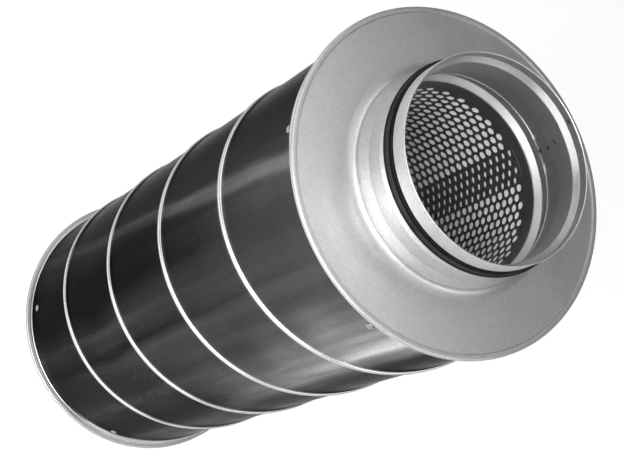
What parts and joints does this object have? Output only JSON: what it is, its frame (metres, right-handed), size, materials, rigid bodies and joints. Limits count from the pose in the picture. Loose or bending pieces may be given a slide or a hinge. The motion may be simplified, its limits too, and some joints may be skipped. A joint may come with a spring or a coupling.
{
  "type": "duct sound attenuator",
  "caption": "Round duct silencer: spiral-seamed galvanised casing, rolled-rim end caps, gasketed spigots and a perforated bore lined with mineral wool to damp fan noise.",
  "frame": {"origin": "centre of the rear spigot's edge, on which the unit stands", "axes": "+Z along the duct axis, from the rear spigot to the front spigot; -Y faces the camera's side of the picture"},
  "size_m": [0.2736, 0.2736, 0.715],
  "materials": {
    "casing_sheet": "bright galvanised sheet",
    "cap_sheet": "satin galvanised sheet",
    "spigot_sheet": "bright galvanised sheet",
    "tube_sheet": "perforated galvanised sheet",
    "fleece": "white non-woven fleece",
    "wool": "matt fibre batt",
    "gasket_rubber": "matt black rubber",
    "rivet_steel": "plain zinc-plated"
  },
  "bodies": {
    "root": {"casing": "casing_sheet", "front_end_cap": "cap_sheet", "rear_end_cap": "cap_sheet", "front_spigot": "spigot_sheet", "rear_spigot": "spigot_sheet", "perforated_tube": "tube_sheet", "fleece_wrap": "fleece", "mineral_wool": "wool", "front_gasket": "gasket_rubber", "rear_gasket": "gasket_rubber", "front_rivets": "rivet_steel", "rear_rivets": "rivet_steel"}
  },
  "joints": []
}
